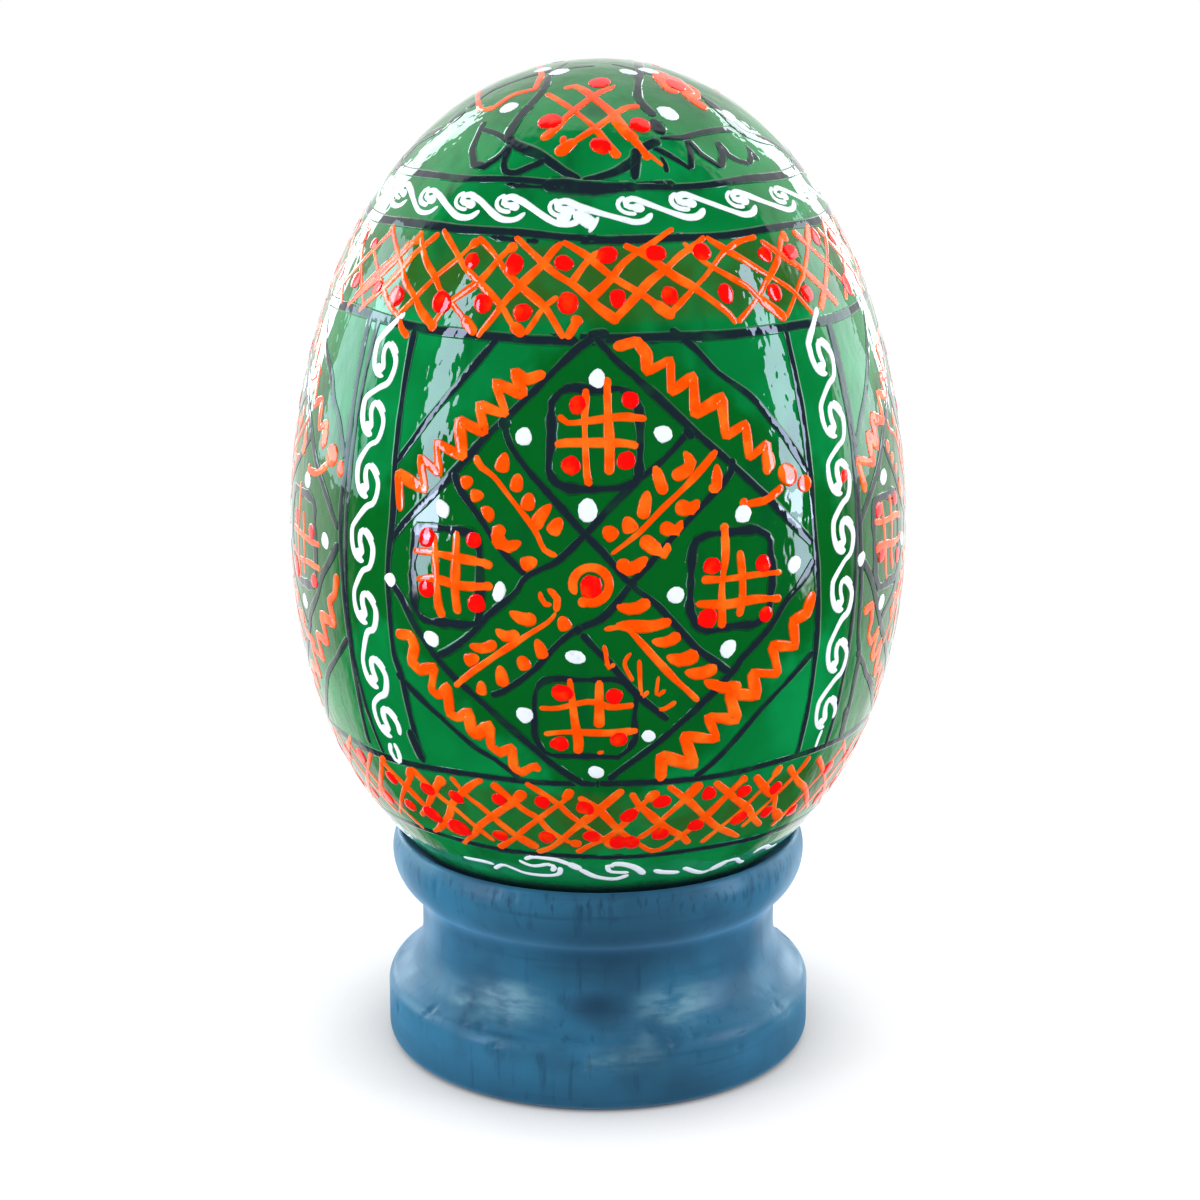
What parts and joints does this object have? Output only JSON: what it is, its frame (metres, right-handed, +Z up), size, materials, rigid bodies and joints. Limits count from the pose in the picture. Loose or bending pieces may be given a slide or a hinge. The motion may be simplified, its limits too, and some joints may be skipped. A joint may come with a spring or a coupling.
{
  "type": "decorative egg on stand",
  "caption": "Turned wooden egg with a raised folk pattern under clear lacquer, resting loose in a turned wooden ring stand.",
  "frame": {"origin": "centre of the ring stand's underside, on the surface it stands on", "axes": "+Z up along the turning axis of the egg and the ring, -Y towards the side of the egg that faces the viewer"},
  "size_m": [0.046, 0.046, 0.0746],
  "materials": {
    "egg_lacquer": "painted, raised enamel strokes under glossy clear lacquer",
    "stand_paint": "satin blue paint over turned wood"
  },
  "bodies": {
    "stand": {"stand": "stand_paint"},
    "egg": {"egg": "egg_lacquer"}
  },
  "joints": [
    {"name": "egg_lift", "type": "slide", "parent": "stand", "child": "egg", "axis": [0, 0, 1], "range_m": [0, 0.03]}
  ]
}
